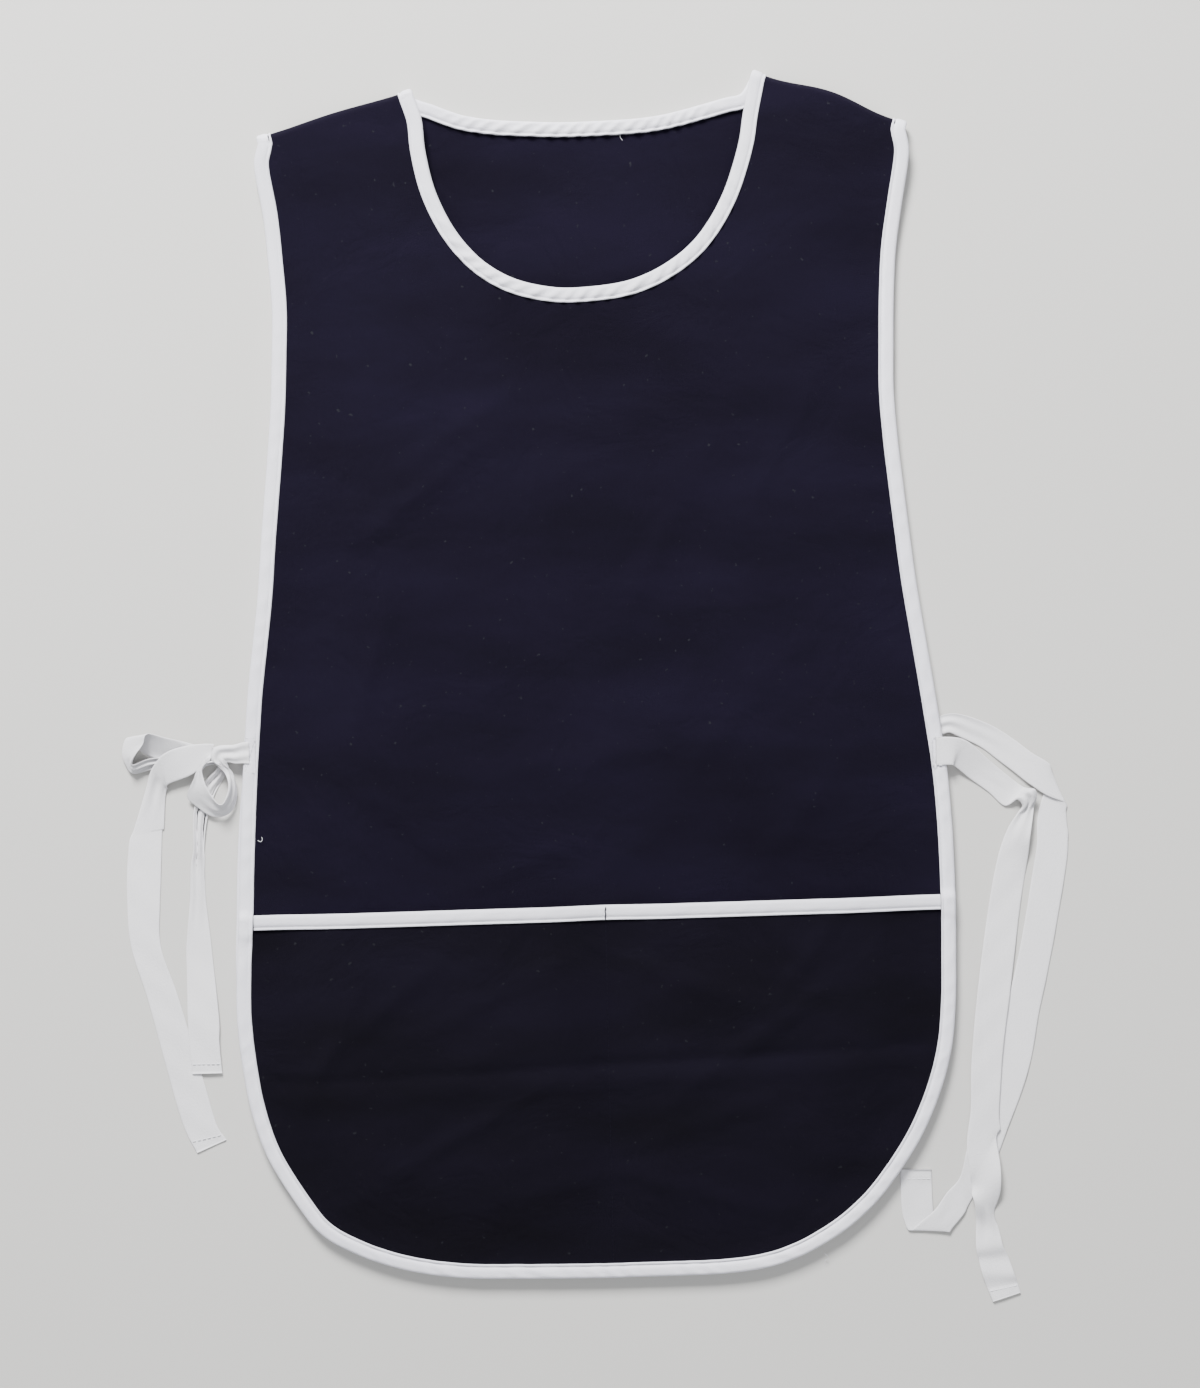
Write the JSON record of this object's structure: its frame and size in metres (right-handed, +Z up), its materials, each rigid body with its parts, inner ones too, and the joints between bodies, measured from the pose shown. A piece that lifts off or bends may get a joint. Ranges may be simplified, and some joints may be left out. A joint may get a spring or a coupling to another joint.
{
  "type": "cobbler apron",
  "caption": "Navy cloth tabard apron with white bias binding, a divided front pocket and tape ties at both sides.",
  "frame": {"origin": "on the surface it lies on, under the middle of the body", "axes": "+X to the right side as it lies seen from above, +Y towards the neck, +Z up off the surface"},
  "size_m": [0.6028, 0.7884, 0.0164],
  "materials": {
    "navy_cloth": "matt plain weave polyester and cotton",
    "white_binding": "matt bias binding, edge stitched",
    "white_tape": "matt woven tape"
  },
  "bodies": {
    "root": {"back_panel": "navy_cloth", "front_panel": "navy_cloth", "pocket": "navy_cloth", "neck_binding": "white_binding", "edge_binding": "white_binding", "pocket_binding": "white_binding", "left_front_tie": "white_tape", "left_back_tie": "white_tape", "right_front_tie": "white_tape", "right_back_tie": "white_tape"}
  },
  "joints": []
}
